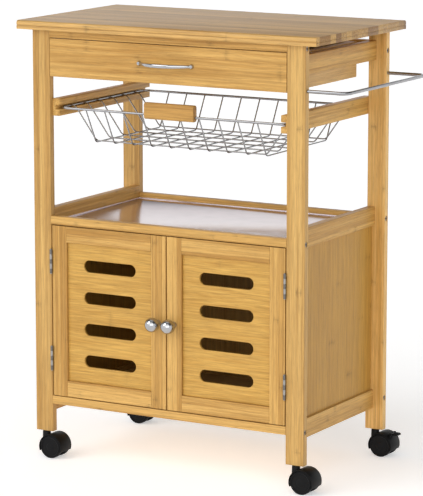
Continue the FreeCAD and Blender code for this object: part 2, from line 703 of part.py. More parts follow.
def magnet_catch():
    y = (f"{FRONT} + door_t + strike_t + catch_gap", "catch_t")
    node("magnet_catch", box(("-catch_w / 2", "catch_w"), y, ("shelf_z - sheet_t - catch_h", "catch_h")))


# ---- casters -------------------------------------------------------------------------------------

def sockets():
    sleeves = []
    for side, sign in SIDES:
        for name, end in ENDS:
            place = (f"{sign} * {LEG_MIDDLE_X}", f"{end} * {LEG_MIDDLE_Y}", "leg_z")
            sleeve = rod("Z", "socket_r", "socket_h", *place)
            sleeves.append(cut(sleeve, rod("Z", "stem_r + stem_gap", "socket_h", *place)))
    node("caster_sockets", *sleeves)


def caster_frame(name, sign, end, braked):
    """The swivelling half of a caster: stem, neck, hood and the boss round the axle."""
    x = f"({sign} * {LEG_MIDDLE_X})"
    y = f"({end} * {LEG_MIDDLE_Y})"
    axle_x = f"({x} + trail)"
    wide = "(2 * (wheel_in + wheel_w))"
    across = (f"{y} - {wide} / 2", wide)
    disc = rod("Y", "hood_r", wide, axle_x, across[0], "wheel_r")
    below = box((f"{axle_x} - hood_r", "2 * hood_r"), across, ("wheel_r - hood_r", "hood_r + hood_low"))
    hood = cut(disc, below)
    neck = rod("Z", "neck_r", "leg_z - neck_gap - wheel_r", x, y, "wheel_r")
    stem = rod("Z", "stem_r", "stem_h + neck_gap", x, y, "leg_z - neck_gap")
    boss = rod("Y", "boss_r", "2 * (wheel_in - web_gap)", axle_x, f"{y} - wheel_in + web_gap", "wheel_r")
    pieces = [hood, neck, boss]
    if braked:
        pieces += lever_ears(axle_x, y)
    spaces = [
        rod("Y", "wheel_r + hood_gap", "wheel_w + 2 * web_gap", axle_x, low, "wheel_r")
        for low in (f"{y} + wheel_in - web_gap", f"{y} - wheel_in - wheel_w - web_gap")
    ]
    spaces.append(rod("Y", "axle_r + axle_gap", wide, axle_x, across[0], "wheel_r"))
    node(f"caster_{name}_frame", fused(cut(fused(*pieces), *spaces), stem))


def lever_ears(axle_x, y):
    """Two ears on the hood and the pin between them, on which a brake lever tips."""
    pivot_x = f"({axle_x} + lever_out)"
    pivot_z = "(wheel_r + lever_up)"
    gap = "(lever_w / 2 + ear_gap)"
    ears = []
    for sign in (-1, 1):
        low, thick = mirrored(sign, gap, "ear_t")
        ear_y = (f"{y} + {low}", thick)
        ears.append(rod("Y", "ear_r", thick, pivot_x, ear_y[0], pivot_z))
        ears.append(box((f"{pivot_x} - ear_l", "ear_l"), ear_y, (f"{pivot_z} - ear_h", "ear_h")))
    ears.append(rod("Y", "lever_pin_r", f"2 * ({gap} + ear_t)", pivot_x, f"{y} - {gap} - ear_t", pivot_z))
    return ears


def wheels(name, sign, end):
    x = f"({sign} * {LEG_MIDDLE_X} + trail)"
    y = f"({end} * {LEG_MIDDLE_Y})"
    round_edge = lambda edge: isinstance(edge.Curve, Part.Circle)
    discs = []
    for low in (f"{y} + wheel_in", f"{y} - wheel_in - wheel_w"):
        discs.append(eased(rod("Y", "wheel_r", "wheel_w", x, low, "wheel_r"), "tyre_r", round_edge))
    wide = "(2 * (wheel_in + wheel_w))"
    axle = rod("Y", "axle_r", wide, x, f"{y} - {wide} / 2", "wheel_r")
    node(f"caster_{name}_wheels", fused(axle, *discs))


def brake_lever(name, sign, end):
    x = f"({sign} * {LEG_MIDDLE_X} + trail + lever_out)"
    y = f"({end} * {LEG_MIDDLE_Y})"
    z = "(wheel_r + lever_up)"
    barrel = rod("Y", "2 * lever_pin_r", "lever_w", x, f"{y} - lever_w / 2", z)
    plate = box((x, "lever_len"), (f"{y} - lever_w / 2", "lever_w"), (f"{z} - lever_t / 2", "lever_t"))
    bore = rod("Y", "lever_pin_r + axle_gap", "lever_w", x, f"{y} - lever_w / 2", z)
    node(f"caster_{name}_brake", cut(fused(barrel, plate), bore))


def casters():
    sockets()
    for side, sign in SIDES:
        for row, end in ENDS:
            name = f"{row}_{side}"
            braked = end > 0
            caster_frame(name, sign, end, braked)
            wheels(name, sign, end)
            if braked:
                brake_lever(name, sign, end)


# ---- the whole cart ------------------------------------------------------------------------------

def build():
    worktop()
    for side, sign in SIDES:
        for row, end in ENDS:
            leg(f"{row}_{side}", sign, end)
    cross_rails()
    side_rails()
    drawer_runners()
    basket_rails()
    shelf()
    panels()
    frame_bolts()
    towel_rail()
    drawer()
    basket_rim()
    basket_wires()
    basket_grip()
    for side, sign in SIDES:
        door(side, sign)
    hinges()
    magnet_catch()
    casters()


def check():
    doc.recompute()
    for item in doc.Objects:
        if "Invalid" in item.State or "Error" in item.State:
            raise RuntimeError(f"{item.Name} did not compute: {item.State}")
    for item in nodes:
        if item.Shape.isNull() or not item.Shape.isValid() or item.Shape.Volume <= 0:
            raise RuntimeError(f"{item.Label} has no valid shape")


def write():
    os.makedirs("parts", exist_ok=True)
    for item in nodes:
        item.Shape.exportStep(f"parts/{item.Label}.step")


build()
check()
write()
print(f"{len(nodes)} nodes written")
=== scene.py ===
"""Looks for a rolling bamboo kitchen cart: every piece is modelled round the cart's fixed frame.

Metres, +Z up, the doors face -Y and the towel rail is on the +X side.
"""

import math

import bmesh
import bpy
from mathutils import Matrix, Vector


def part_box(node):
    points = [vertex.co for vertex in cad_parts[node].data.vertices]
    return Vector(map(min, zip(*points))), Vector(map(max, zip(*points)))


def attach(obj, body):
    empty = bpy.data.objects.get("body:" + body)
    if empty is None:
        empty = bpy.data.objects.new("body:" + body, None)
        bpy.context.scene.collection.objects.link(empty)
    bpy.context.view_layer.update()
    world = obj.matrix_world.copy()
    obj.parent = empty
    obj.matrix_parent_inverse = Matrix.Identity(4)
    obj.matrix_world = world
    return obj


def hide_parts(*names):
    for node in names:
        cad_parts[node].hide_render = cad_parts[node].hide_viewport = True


bl_info = {
    "name": "Bamboo Kitchen Cart",
    "version": (1, 0, 0),
    "blender": (4, 5, 0),
    "location": "View3D > Sidebar > Kitchen Cart",
    "description": "Models the cart's worktop, basket, doors, metalwork and casters round its frame",
    "category": "Object",
}

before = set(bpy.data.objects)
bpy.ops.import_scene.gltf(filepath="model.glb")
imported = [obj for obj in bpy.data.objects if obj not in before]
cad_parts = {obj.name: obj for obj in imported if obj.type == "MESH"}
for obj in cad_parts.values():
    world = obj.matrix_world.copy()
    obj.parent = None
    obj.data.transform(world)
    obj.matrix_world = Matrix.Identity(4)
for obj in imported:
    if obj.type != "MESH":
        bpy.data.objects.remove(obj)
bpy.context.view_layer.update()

FULL_TURN = 2 * math.pi
X_AXIS = Vector((1, 0, 0))
Y_AXIS = Vector((0, 1, 0))
Z_AXIS = Vector((0, 0, 1))
BOARD_LOW, BOARD_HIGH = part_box("worktop")
MIDDLE_X = (BOARD_LOW.x + BOARD_HIGH.x) / 2
CORNERS = ("front_left", "front_right", "rear_left", "rear_right")


# ---- modelling helpers ---------------------------------------------------------------------------

def rest():
    """Object mode with nothing selected, so that the next operator acts on one piece only."""
    if bpy.context.mode != "OBJECT":
        bpy.ops.object.mode_set(mode="OBJECT")
    bpy.ops.object.select_all(action="DESELECT")


def pick(*pieces):
    """Select only these pieces and make the first one active."""
    rest()
    for piece in pieces:
        piece.select_set(True)
    bpy.context.view_layer.objects.active = pieces[0]


def edit(piece, kind, wanted):
    """Edit one piece with only its wanted faces, edges or verts selected."""
    pick(piece)
    bpy.ops.object.mode_set(mode="EDIT")
    bpy.ops.mesh.select_mode(type={"faces": "FACE", "edges": "EDGE", "verts": "VERT"}[kind])
    bpy.ops.mesh.select_all(action="DESELECT")
    shape = bmesh.from_edit_mesh(piece.data)
    for item in getattr(shape, kind):
        if wanted(item):
            item.select_set(True)
    shape.select_flush_mode()
    bmesh.update_edit_mesh(piece.data)


def fix_place(piece):
    """Move the piece's place, turn and scale into its mesh."""
    pick(piece)
    bpy.ops.object.transform_apply(location=True, rotation=True, scale=True)


def block(name, low, high):
    """A rectangular blank between two corners."""
    rest()
    low, high = Vector(low), Vector(high)
    bpy.ops.mesh.primitive_cube_add(size=1, location=(low + high) / 2, scale=high - low)
    piece = bpy.context.object
    piece.name = name
    fix_place(piece)
    return piece


def round_edges(piece, width, segments, wanted):
    """Bevel the wanted edges to a rounded profile."""
    edit(piece, "edges", wanted)
    bpy.ops.mesh.bevel(
        offset=width, offset_type="OFFSET", segments=segments, affect="EDGES", clamp_overlap=True)
    rest()


def along(axis):
    """A test for edges that run along an axis."""
    def test(edge):
        run = edge.verts[1].co - edge.verts[0].co
        return run.length > 0 and abs(run.normalized().dot(axis)) > 0.999
    return test


def soften(piece, width, segments=2, angle=35):
    """Round every edge sharper than an angle with an applied Bevel modifier."""
    pick(piece)
    modifier = piece.modifiers.new("Soft edges", "BEVEL")
    modifier.width = width
    modifier.segments = segments
    modifier.limit_method = "ANGLE"
    modifier.angle_limit = math.radians(angle)
    modifier.harden_normals = False
    bpy.ops.object.modifier_apply(modifier=modifier.name)


def combine(piece, other, operation):
    """Cut the other shape out of the piece, or unite the two, and remove the other."""
    pick(piece)
    modifier = piece.modifiers.new(operation.title(), "BOOLEAN")
    modifier.operation = operation
    modifier.solver = "EXACT"
    modifier.object = other
    bpy.ops.object.modifier_apply(modifier=modifier.name)
    bpy.data.objects.remove(other, do_unlink=True)


def tidy(piece):
    """Merge doubled points and turn every face outwards."""
    edit(piece, "verts", lambda vert: True)
    bpy.ops.mesh.remove_doubles(threshold=1e-6)
    bpy.ops.mesh.normals_make_consistent(inside=False)
    rest()


def start_line(name, point):
    """Begin a line: a plane merged to a single point, ready to be extruded."""
    rest()
    bpy.ops.mesh.primitive_plane_add(size=0.001, location=point)
    piece = bpy.context.object
    piece.name = name
    bpy.ops.object.mode_set(mode="EDIT")
    bpy.ops.mesh.select_all(action="SELECT")
    bpy.ops.mesh.merge(type="CENTER")
    return piece


def line(name, points):
    """A chain of edges through the points, drawn by extruding one point from place to place."""
    points = [Vector(point) for point in points]
    piece = start_line(name, points[0])
    for before, after in zip(points, points[1:]):
        bpy.ops.mesh.extrude_region_move(TRANSFORM_OT_translate={"value": after - before})
    fix_place(piece)
    return piece


def bend_corners(piece, radius, segments=6):
    """Round the corners of a line where two of its edges meet."""
    edit(piece, "verts", lambda vert: len(vert.link_edges) == 2)
    bpy.ops.mesh.bevel(offset=radius, offset_type="OFFSET", segments=segments, affect="VERTICES")
    rest()


def tube(piece, radius, resolution=3):
    """Turn a line into a round bar with closed ends."""
    pick(piece)
    bpy.ops.object.convert(target="CURVE")
    curve = bpy.context.object.data
    curve.bevel_depth = radius
    curve.bevel_resolution = resolution
    curve.use_fill_caps = True
    bpy.ops.object.convert(target="MESH")
    tidy(piece)
    return piece


def lathe(name, profile, centre, axis, steps=40):
    """Spin a profile of (radius, height) points about an axis through the centre."""
    out = Z_AXIS if abs(axis.z) < 0.5 else X_AXIS
    piece = line(name, [Vector(centre) + out * radius + axis * height for radius, height in profile])
    edit(piece, "verts", lambda vert: True)
    bpy.ops.mesh.spin(steps=steps, angle=FULL_TURN, center=centre, axis=axis)
    tidy(piece)
    return piece


def disc(name, radius, half, centre, steps):
    """A short round bar lying along Y, half its length each side of the centre."""
    return lathe(name, [(0, -half), (radius, -half), (radius, half), (0, half)], centre, Y_AXIS, steps=steps)


def join(name, *pieces):
    """Make one object of several."""
    pick(*pieces)
    if len(pieces) > 1:
        bpy.ops.object.join()
    pieces[0].name = name
    return pieces[0]


def copy(piece, name, shift):
    """A copy with its own mesh, moved by a shift."""
    pick(piece)
    bpy.ops.object.duplicate(linked=False)
    twin = bpy.context.object
    twin.name = name
    twin.location += Vector(shift)
    fix_place(twin)
    return twin


def reflect(piece, name, middle_x):
    """A mirror image with its own mesh, across the level plane at middle_x."""
    twin = copy(piece, name, (0, 0, 0))
    pick(twin)
    bpy.ops.transform.resize(value=(-1, 1, 1), center_override=(middle_x, 0, 0))
    fix_place(twin)
    tidy(twin)
    return twin


def arc(radius, centre_height, start, stop, steps):
    """Points (radius, height) on a circle whose centre lies on the axis, angles from the low pole."""
    points = []
    for index in range(steps + 1):
        angle = math.radians(start + (stop - start) * index / steps)
        points.append((max(radius * math.sin(angle), 0), centre_height - radius * math.cos(angle)))
    return points


def settle(piece, material, body, slot, *replaced, angle=30):
    """Finish a piece: smooth it, give it its material, and tell the frame what it rides on."""
    fix_place(piece)
    piece.data.materials.clear()
    piece.data.materials.append(material)
    bpy.ops.object.shade_smooth_by_angle(angle=math.radians(angle))
    rest()
    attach(piece, body)
    if replaced:
        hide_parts(*replaced)


def clothe(material, *nodes):
    """Give CAD nodes a material in place of their plain one."""
    for name in nodes:
        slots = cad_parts[name].material_slots
        for slot in slots:
            slot.material = material


# ---- materials -----------------------------------------------------------------------------------

class Recipe:
    """A material's node tree, added a node at a time."""

    def __init__(self, name, metallic=0.0, coat=0.0):
        self.material = bpy.data.materials.new(name)
        self.material.use_nodes = True
        self.tree = self.material.node_tree
        self.shader = self.tree.nodes["Principled BSDF"]
        self.shader.inputs["Metallic"].default_value = metallic
        self.shader.inputs["Coat Weight"].default_value = coat
        self.shader.inputs["Coat Roughness"].default_value = 0.3
        self.place = self.add("ShaderNodeTexCoord").outputs["Object"]

    def add(self, kind, inputs=None, **settings):
        item = self.tree.nodes.new(kind)
        for key, value in settings.items():
            setattr(item, key, value)
        for key, value in (inputs or {}).items():
            self.feed(item.inputs[key], value)
        return item

    def feed(self, socket, value):
        if isinstance(value, bpy.types.NodeSocket):
            self.tree.links.new(value, socket)
        else:
            socket.default_value = value

    def sum(self, operation, *values):
        item = self.add("ShaderNodeMath", dict(enumerate(values)), operation=operation)
        return item.outputs[0]

    def random(self, seed):
        return self.add("ShaderNodeTexWhiteNoise", {"W": seed}, noise_dimensions="1D").outputs["Value"]

    def stretched(self, scale, source=None):
        item = self.add("ShaderNodeVectorMath", {0: source or self.place, 1: scale}, operation="MULTIPLY")
        return item.outputs[0]

    def noise(self, vector, scale=1.0, detail=3.0, seed=0.0):
        item = self.add(
            "ShaderNodeTexNoise",
            {"Vector": vector, "W": seed, "Scale": scale, "Detail": detail},
            noise_dimensions="4D",
        )
        return item.outputs[0]

    def ramp(self, value, low, high, to_low=0.0, to_high=1.0):
        """Ease the value from one range to another."""
        item = self.add(
            "ShaderNodeMapRange",
            {"Value": value, "From Min": low, "From Max": high, "To Min": to_low, "To Max": to_high},
            interpolation_type="SMOOTHSTEP",
        )
        return item.outputs[0]

    def blend(self, factor, first, second, mode="MIX"):
        item = self.add("ShaderNodeMix", {0: factor, 6: first, 7: second}, data_type="RGBA", blend_type=mode)
        return item.outputs[2]

    def edge(self, radius):
        """How much the surface turns within a radius: near 0 on flats and near 1 on worn edges."""
        soft = self.add("ShaderNodeBevel", {"Radius": radius}, samples=4).outputs[0]
        flat = self.add("ShaderNodeNewGeometry").outputs["True Normal"]
        same = self.add("ShaderNodeVectorMath", {0: soft, 1: flat}, operation="DOT_PRODUCT").outputs["Value"]
        return self.ramp(same, 0.995, 0.80), soft

    def finish(self, colour, roughness, height, depth, normal=None):
        inputs = {"Height": height, "Distance": depth, "Strength": 1.0}
        if normal:
            inputs["Normal"] = normal
        bump = self.add("ShaderNodeBump", inputs).outputs[0]
        self.feed(self.shader.inputs["Base Color"], colour)
        self.feed(self.shader.inputs["Roughness"], roughness)
        self.feed(self.shader.inputs["Normal"], bump)
        return self.material


def bamboo(name, run, across, strip, light, dark, layer=0.0065, seed=1.0, wave=0.0, contrast=1.0,
           streak=(4.0, 230.0), strips=1.0, rings=1.0, ends=None, gloss=0.28):
    """Lacquered bamboo: glued strips with fibres, flecks, growth rings and dark glue lines.

    run and across are the axes (0, 1 or 2) of the fibres and of the strips' width.
    """
    recipe = Recipe(name, coat=0.2 * gloss)
    recipe.shader.inputs["Specular IOR Level"].default_value = gloss
    axes = recipe.add("ShaderNodeSeparateXYZ", {0: recipe.place}).outputs
    third = 3 - run - across
    length, width, deep = axes[run], axes[across], axes[third]

    stretch = [1.0, 1.0, 1.0]
    stretch[run] = 0.12
    drift = recipe.noise(recipe.stretched(stretch), scale=30.0, detail=2.0, seed=seed)
    width = recipe.sum("MULTIPLY_ADD", recipe.sum("SUBTRACT", drift, 0.5), wave, width)

    counted = recipe.sum("MULTIPLY_ADD", width, 1 / strip, 0.37 + seed)
    layers = recipe.sum("MULTIPLY_ADD", deep, 1 / layer, 0.41)
    ident = recipe.sum("MULTIPLY_ADD", recipe.sum("FLOOR", counted), 7.31, seed)
    ident = recipe.sum("MULTIPLY_ADD", recipe.sum("FLOOR", layers), 3.77, ident)
    tone = recipe.random(ident)
    shift = recipe.random(recipe.sum("ADD", ident, 57.3))

    fibre = recipe.add("ShaderNodeCombineXYZ", {0: length, 1: width, 2: deep}).outputs[0]
    streaks = recipe.noise(recipe.stretched((streak[0], streak[1], streak[1]), fibre), seed=ident, detail=4.0)
    fibres = recipe.noise(recipe.stretched((26.0, 760.0, 760.0), fibre), seed=ident, detail=2.0)
    flecks = recipe.noise(recipe.stretched((70.0, 2600.0, 2600.0), fibre), seed=ident, detail=1.0)
    flecks = recipe.ramp(flecks, 0.60, 0.70)
    clouds = recipe.noise(recipe.stretched((3.0, 9.0, 9.0), fibre), seed=seed, detail=2.0)

    ring_gap = 0.27
    turn = recipe.sum("FRACT", recipe.sum("MULTIPLY_ADD", length, 1 / ring_gap, shift))
    away = recipe.sum("MULTIPLY", recipe.sum("ABSOLUTE", recipe.sum("SUBTRACT", turn, 0.5)), ring_gap)
    away = recipe.sum("MULTIPLY_ADD", recipe.sum("SUBTRACT", streaks, 0.5), 0.012, away)
    tufts = recipe.ramp(recipe.noise(recipe.stretched((60.0, 330.0, 330.0), fibre), seed=ident), 0.40, 0.62)
    grown = recipe.sum("GREATER_THAN", recipe.random(recipe.sum("ADD", ident, 11.7)), 0.45)
    ring = recipe.sum("MULTIPLY", recipe.ramp(away, 0.0020, 0.0004), grown)
    halo = recipe.sum("MULTIPLY", recipe.ramp(away, 0.010, 0.001), grown)
    halo = recipe.sum("MULTIPLY", halo, tufts)

    seam = recipe.sum("ABSOLUTE", recipe.sum("SUBTRACT", recipe.sum("FRACT", counted), 0.5))
    seam = recipe.ramp(seam, 0.5 - 0.00035 / strip, 0.5 - 0.00010 / strip)

    body = recipe.sum("MULTIPLY", streaks, 1.7)
    body = recipe.sum("MULTIPLY_ADD", recipe.sum("SUBTRACT", tone, 0.5), 0.55 * strips, body)
    body = recipe.sum("MULTIPLY_ADD", recipe.sum("SUBTRACT", clouds, 0.5), 0.5, body)
    body = recipe.sum("MULTIPLY_ADD", recipe.sum("SUBTRACT", body, 0.85), contrast, 0.5)
    colour = recipe.blend(recipe.ramp(body, 0.05, 0.95), (*dark, 1.0), (*light, 1.0))
    shade = recipe.sum("MULTIPLY_ADD", recipe.sum("SUBTRACT", fibres, 0.5), 0.85, 1.0)
    shade = recipe.sum("MULTIPLY_ADD", flecks, -0.24, shade)
    shade = recipe.sum("MULTIPLY_ADD", halo, -0.20 * rings, shade)
    shade = recipe.sum("MULTIPLY_ADD", ring, -0.10 * rings, shade)
    shade = recipe.sum("MULTIPLY_ADD", seam, -0.16, shade)
    if ends:
        middle, half = (ends[0] + ends[1]) / 2, (ends[1] - ends[0]) / 2
        out = recipe.sum("ABSOLUTE", recipe.sum("SUBTRACT", axes[run], middle))
        end = recipe.sum("GREATER_THAN", out, half - 0.0005)
        pores = recipe.noise(recipe.place, scale=900.0, detail=1.0)
        darker = recipe.sum("MULTIPLY_ADD", recipe.ramp(pores, 0.42, 0.62), -0.22, -0.04)
        shade = recipe.sum("MULTIPLY_ADD", end, darker, shade)
        toasted = recipe.sum("MULTIPLY_ADD", recipe.ramp(tone, 0.55, 0.05), 0.62, 0.10)
        toasted = recipe.sum("MULTIPLY", toasted, end)
        colour = recipe.blend(toasted, colour, (0.20, 0.085, 0.016, 1.0))
    edge, soft = recipe.edge(0.0011)
    shade = recipe.sum("MULTIPLY_ADD", edge, 0.10, shade)
    grey = recipe.add("ShaderNodeCombineColor", {0: shade, 1: shade, 2: shade}).outputs[0]
    colour = recipe.blend(1.0, colour, grey, mode="MULTIPLY")

    roughness = recipe.sum("MULTIPLY_ADD", fibres, 0.16, 0.34)
    roughness = recipe.sum("MULTIPLY_ADD", edge, -0.06, roughness)
    height = recipe.sum("MULTIPLY_ADD", flecks, -0.7, fibres)
    height = recipe.sum("MULTIPLY_ADD", ring, -1.2, height)
    height = recipe.sum("MULTIPLY_ADD", seam, -1.6, height)
    return recipe.finish(colour, roughness, height, 0.00006, soft)


def metal(name, colour, shine, brushed=(1.0, 1.0, 1.0), depth=0.000004):
    """Plated or rolled metal with fine marks, faint smudges and brighter edges."""
    recipe = Recipe(name, metallic=1.0)
    marks = recipe.noise(recipe.stretched([900 * each for each in brushed]), detail=4.0)
    smudges = recipe.noise(recipe.place, scale=38.0, detail=3.0)
    edge, soft = recipe.edge(0.0004)
    dulled = [0.90 * each for each in colour]
    tint = recipe.blend(recipe.ramp(smudges, 0.3, 0.75), (*dulled, 1.0), (*colour, 1.0))
    tint = recipe.blend(recipe.sum("MULTIPLY", edge, 0.35), tint, (0.92, 0.92, 0.92, 1.0))
    roughness = recipe.sum("MULTIPLY_ADD", marks, 0.10, shine - 0.05)
    roughness = recipe.sum("MULTIPLY_ADD", recipe.ramp(smudges, 0.5, 0.8), 0.06, roughness)
    return recipe.finish(tint, roughness, marks, depth, soft)


def plastic(name, colour, shine, depth=0.00003):
    """Moulded plastic with a fine cast texture, soft patches and rubbed edges."""
    recipe = Recipe(name)
    recipe.shader.inputs["Specular IOR Level"].default_value = 0.13
    grain = recipe.noise(recipe.place, scale=1400.0, detail=2.0)
    patches = recipe.noise(recipe.place, scale=60.0, detail=3.0)
    edge, soft = recipe.edge(0.0006)
    rubbed = [min(1.0, each * 2 + 0.012) for each in colour]
    paler = [1.25 * each for each in colour]
    tint = recipe.blend(recipe.ramp(patches, 0.3, 0.8), (*colour, 1.0), (*paler, 1.0))
    tint = recipe.blend(recipe.sum("MULTIPLY", edge, 0.6), tint, (*rubbed, 1.0))
    roughness = recipe.sum("MULTIPLY_ADD", patches, 0.14, shine - 0.07)
    roughness = recipe.sum("MULTIPLY_ADD", grain, 0.08, roughness)
    return recipe.finish(tint, roughness, grain, depth, soft)


def floor_paint(name, colour):
    """A pale matt studio floor with the faintest mottling and a trace of its own glow."""
    recipe = Recipe(name)
    recipe.shader.inputs["Emission Color"].default_value = (1.0, 1.0, 1.0, 1.0)
    recipe.shader.inputs["Emission Strength"].default_value = 0.42
    mottle = recipe.noise(recipe.place, scale=3.0, detail=4.0)
    tint = recipe.blend(mottle, (*[0.985 * each for each in colour], 1.0), (*colour, 1.0))
    roughness = recipe.sum("MULTIPLY_ADD", mottle, 0.1, 0.75)
    return recipe.finish(tint, roughness, mottle, 0.0002)


MADE = {}


def material(name, maker, *values, **settings):
    """The material of this name, made the first time that it is asked for."""
    if name not in MADE:
        MADE[name] = maker(name, *values, **settings)
    return MADE[name]


def chrome():
    finish = bpy.context.scene.cart_finish
    return material("chrome", metal, tuple(finish.chrome), finish.chrome_shine)


def wire_chrome():
    finish = bpy.context.scene.cart_finish
    return material("wire_chrome", metal, tuple(finish.wires), finish.chrome_shine + 0.08)


def zinc():
    return material("nickel", metal, tuple(bpy.context.scene.cart_finish.fittings), 0.30)


def black_plastic():
    return material("black_moulding", plastic, tuple(bpy.context.scene.cart_finish.casters), 0.42)


def wheel_plastic():
    return material("wheel_nylon", plastic, tuple(bpy.context.scene.cart_finish.wheels), 0.50)


def wood(name, run, across, strip, **settings):
    finish = bpy.context.scene.cart_finish
    light = settings.pop("light", tuple(finish.bamboo_light))
    dark = settings.pop("dark", tuple(finish.bamboo_dark))
    return material(name, bamboo, run, across, strip, light, dark, **settings)


# ---- sizes and finishes a user may change --------------------------------------------------------

def length_prop(name, description, default):
    return bpy.props.FloatProperty(
        name=name, description=description, default=default, min=0.0, unit="LENGTH", precision=5)


def colour_prop(name, description, default):
    return bpy.props.FloatVectorProperty(
        name=name, description=description, default=default, size=3, min=0.0, max=1.0, subtype="COLOR")


class CartSizes(bpy.types.PropertyGroup):
    """Sizes of the details."""

    nose: length_prop("Worktop nose", "Rounding of the worktop's front and back edges", 0.0048)
    band: length_prop("Worktop band", "Height of the square band under the moulded edge", 0.0060)
    groove: length_prop("Worktop groove", "Width of the groove between band and moulding", 0.0009)
    lip: length_prop("Tray lip", "Height of the shelf tray's turned-up lip", 0.0022)
    slot_length: length_prop("Door slot length", "Length of each slot in the doors", 0.103)
    slot_height: length_prop("Door slot height", "Height of each slot in the doors", 0.021)
    slot_pitch: length_prop("Door slot spacing", "Spacing of the slots in the doors", 0.0552)
    rim_wire: length_prop("Rim wire", "Radius of the basket's rim wire", 0.0021)
    mesh_wire: length_prop("Basket wire", "Radius of the basket's other wires", 0.00125)
    wire_bend: length_prop("Wire bend", "Bend of the wires at the basket's floor", 0.005)
    grip_round: length_prop("Grip rounding", "Rounding of the basket's wooden grip", 0.0045)


class CartFinish(bpy.types.PropertyGroup):
    """Colours and shine."""

    bamboo_light: colour_prop("Light bamboo", "Lightest strips", (0.610, 0.360, 0.105))
    bamboo_dark: colour_prop("Dark bamboo", "Darkest strips", (0.400, 0.205, 0.045))
    chrome: colour_prop("Chrome", "Pull and knobs", (0.47, 0.475, 0.49))
    chrome_shine: bpy.props.FloatProperty(
        name="Chrome roughness", description="How dull the chrome is", default=0.07, min=0.0, max=1.0,
        subtype="FACTOR")
    wires: colour_prop("Basket chrome", "The basket's wires and the towel rail", (0.36, 0.36, 0.37))
    fittings: colour_prop("Fittings", "Hinges, bolts and sockets", (0.40, 0.39, 0.37))
    tray: colour_prop("Tray", "The shelf's metal sheet", (0.63, 0.555, 0.575))
    casters: colour_prop("Caster hoods", "Hoods and brake levers", (0.0040, 0.0040, 0.0043))
    wheels: colour_prop("Caster wheels", "The twin wheels", (0.0050, 0.0050, 0.0054))
    floor: colour_prop("Floor", "The studio floor", (0.90, 0.90, 0.90))


# ---- operators -----------------------------------------------------------------------------------

class CartOperator(bpy.types.Operator):
    """One step in making the cart"""

    bl_options = {"REGISTER", "UNDO"}

    def execute(self, context):
        self.make(context.scene.cart_sizes)
        return {"FINISHED"}


class CART_OT_stage(CartOperator):
    """Lay the floor, light the studio and set the camera"""

    bl_idname = "kitchen_cart.stage"
    bl_label = "Stage"

    def make(self, sizes):
        scene = bpy.context.scene
        scene.view_settings.view_transform = "Standard"
        rest()
        bpy.ops.mesh.primitive_plane_add(size=60)
        ground = bpy.context.object
        ground.name = "studio_floor"
        ground.data.materials.append(material("floor_paint", floor_paint, tuple(scene.cart_finish.floor)))

        world = bpy.data.worlds.new("studio_air")
        world.use_nodes = True
        scene.world = world
        tree = world.node_tree
        upward = tree.nodes.new("ShaderNodeTexCoord").outputs["Generated"]
        parts = tree.nodes.new("ShaderNodeSeparateXYZ")
        tree.links.new(upward, parts.inputs[0])
        bands = tree.nodes.new("ShaderNodeValToRGB")
        bands.color_ramp.interpolation = "EASE"
        heights = ((0.0, 1.0), (0.34, 0.92), (0.50, 0.10), (0.86, 0.10), (0.96, 0.60))
        while len(bands.color_ramp.elements) < len(heights):
            bands.color_ramp.elements.new(0.5)
        for stop, (height, level) in zip(bands.color_ramp.elements, heights):
            stop.position = height
            stop.color = (level, level, level, 1.0)
        tree.links.new(parts.outputs[2], bands.inputs[0])
        tree.links.new(bands.outputs[0], tree.nodes["Background"].inputs["Color"])
        tree.nodes["Background"].inputs["Strength"].default_value = 1.10

        self.lamp("key_light", strength=1.10, softness=45, turn=(52, 0, -36))
        self.lamp("fill_light", strength=1.08, softness=60, turn=(69, 0, 24))

        bpy.ops.object.camera_add(
            location=(2.4100, -4.2414, 1.2497),
            rotation=(math.radians(90 - 10.22), 0, math.radians(29.79)),
        )
        camera = bpy.context.object
        camera.name = "studio_camera"
        camera.data.lens = 209.67
        camera.data.sensor_width = 36
        camera.data.clip_end = 200
        scene.camera = camera
        rest()

    def lamp(self, name, strength, softness, turn):
        """A sun, with its softness and turn in degrees."""
        turn = [math.radians(each) for each in turn]
        bpy.ops.object.light_add(type="SUN", location=(0, 0, 3), rotation=turn)
        light = bpy.context.object
        light.name = name
        light.data.energy = strength
        light.data.angle = math.radians(softness)


